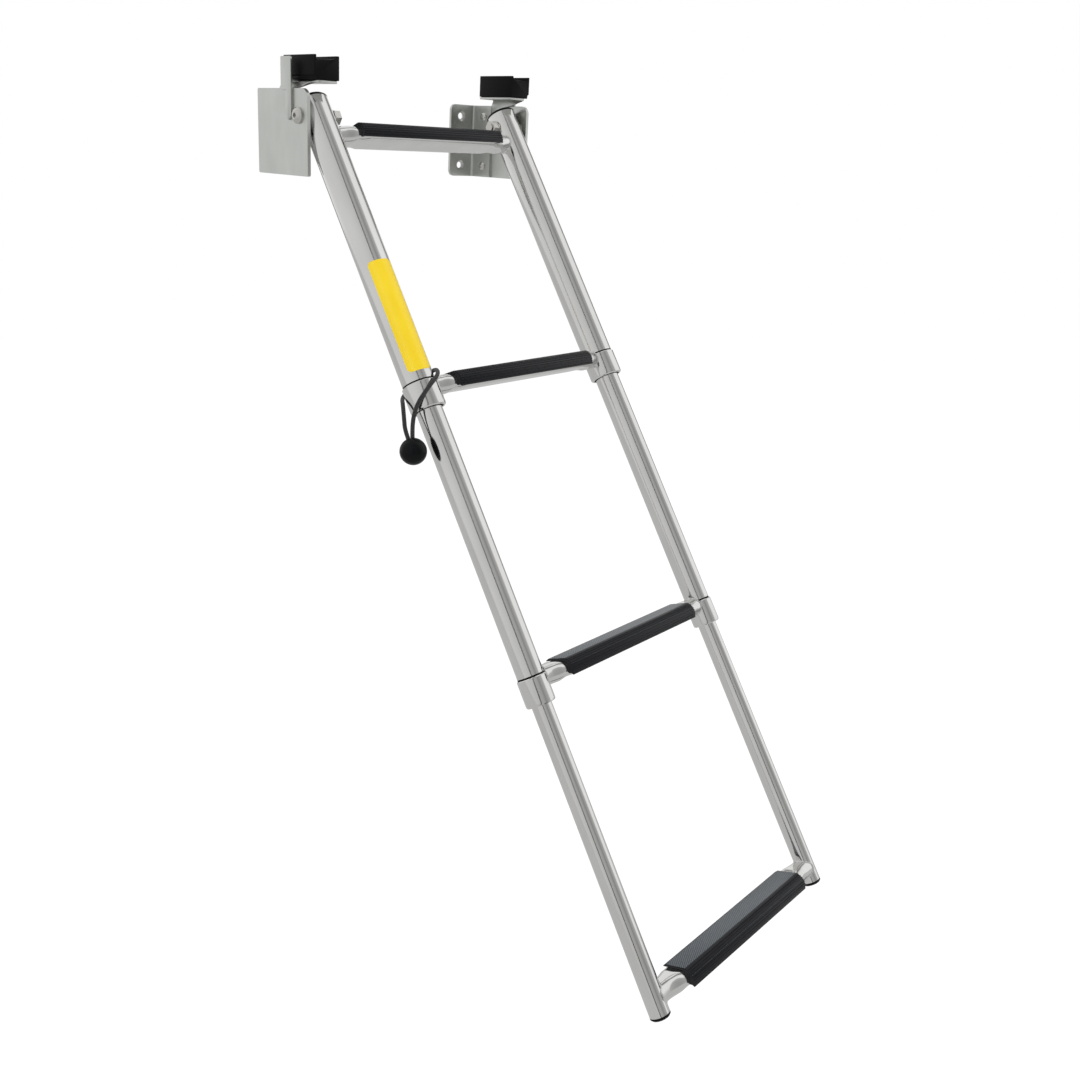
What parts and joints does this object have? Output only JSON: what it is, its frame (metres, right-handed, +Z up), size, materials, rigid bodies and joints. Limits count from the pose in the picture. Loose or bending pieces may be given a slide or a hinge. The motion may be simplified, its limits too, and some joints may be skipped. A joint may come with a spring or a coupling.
{
  "type": "telescopic boarding ladder",
  "caption": "Removable boarding ladder for a boat: rails that telescope in sections, oval rungs with ribbed treads, hinged between two wall brackets with grip blocks and a stowing cord.",
  "frame": {"origin": "rear face of the left base angle, midway between its two fixing holes", "axes": "+X runs across the ladder to the right rail, +Y points into the wall it is fixed to, so -Y faces the climber, +Z is up"},
  "size_m": [0.3284, 0.569, 0.7873],
  "materials": {
    "steel_plate": "satin",
    "bolt_steel": "satin",
    "polished_tube": "polished",
    "black_plastic": "satin",
    "tread_plastic": "matte",
    "cord_rubber": "matte",
    "label_yellow": "satin"
  },
  "bodies": {
    "brackets": {"left_base_angle": "steel_plate", "right_base_angle": "steel_plate", "left_cheek_plate": "steel_plate", "right_cheek_plate": "steel_plate", "left_latch_bar": "steel_plate", "right_latch_bar": "steel_plate", "left_grip_block": "black_plastic", "right_grip_block": "black_plastic", "left_pivot_bolt": "bolt_steel", "right_pivot_bolt": "bolt_steel", "left_pivot_nut": "bolt_steel", "right_pivot_nut": "bolt_steel"},
    "upper_frame": {"left_outer_tube": "polished_tube", "right_outer_tube": "polished_tube", "left_top_cap": "black_plastic", "right_top_cap": "black_plastic", "left_upper_collar": "polished_tube", "right_upper_collar": "polished_tube", "left_upper_bush": "black_plastic", "right_upper_bush": "black_plastic", "first_rung": "polished_tube", "first_tread": "tread_plastic", "second_rung": "polished_tube", "second_tread": "tread_plastic", "bungee_cord": "cord_rubber", "bungee_ball": "black_plastic", "label_plate": "label_yellow"},
    "middle_section": {"left_middle_tube": "polished_tube", "right_middle_tube": "polished_tube", "left_middle_guide": "black_plastic", "right_middle_guide": "black_plastic", "left_lower_collar": "polished_tube", "right_lower_collar": "polished_tube", "left_lower_bush": "black_plastic", "right_lower_bush": "black_plastic", "third_rung": "polished_tube", "third_tread": "tread_plastic"},
    "lower_section": {"left_inner_tube": "polished_tube", "right_inner_tube": "polished_tube", "left_inner_guide": "black_plastic", "right_inner_guide": "black_plastic", "left_end_plug": "black_plastic", "right_end_plug": "black_plastic", "fourth_rung": "polished_tube", "fourth_tread": "tread_plastic"}
  },
  "joints": [
    {"name": "ladder_hinge", "type": "hinge", "parent": "brackets", "child": "upper_frame", "pos_m": [0.125, -0.0721, 0.0155], "axis": [-1, 0, 0], "range_deg": [-30, 75]},
    {"name": "middle_slide", "type": "slide", "parent": "upper_frame", "child": "middle_section", "axis": [0, 0.5563, 0.831], "range_m": [0, 0.249]},
    {"name": "lower_slide", "type": "slide", "parent": "middle_section", "child": "lower_section", "axis": [0, 0.5563, 0.831], "range_m": [0, 0.25]}
  ]
}
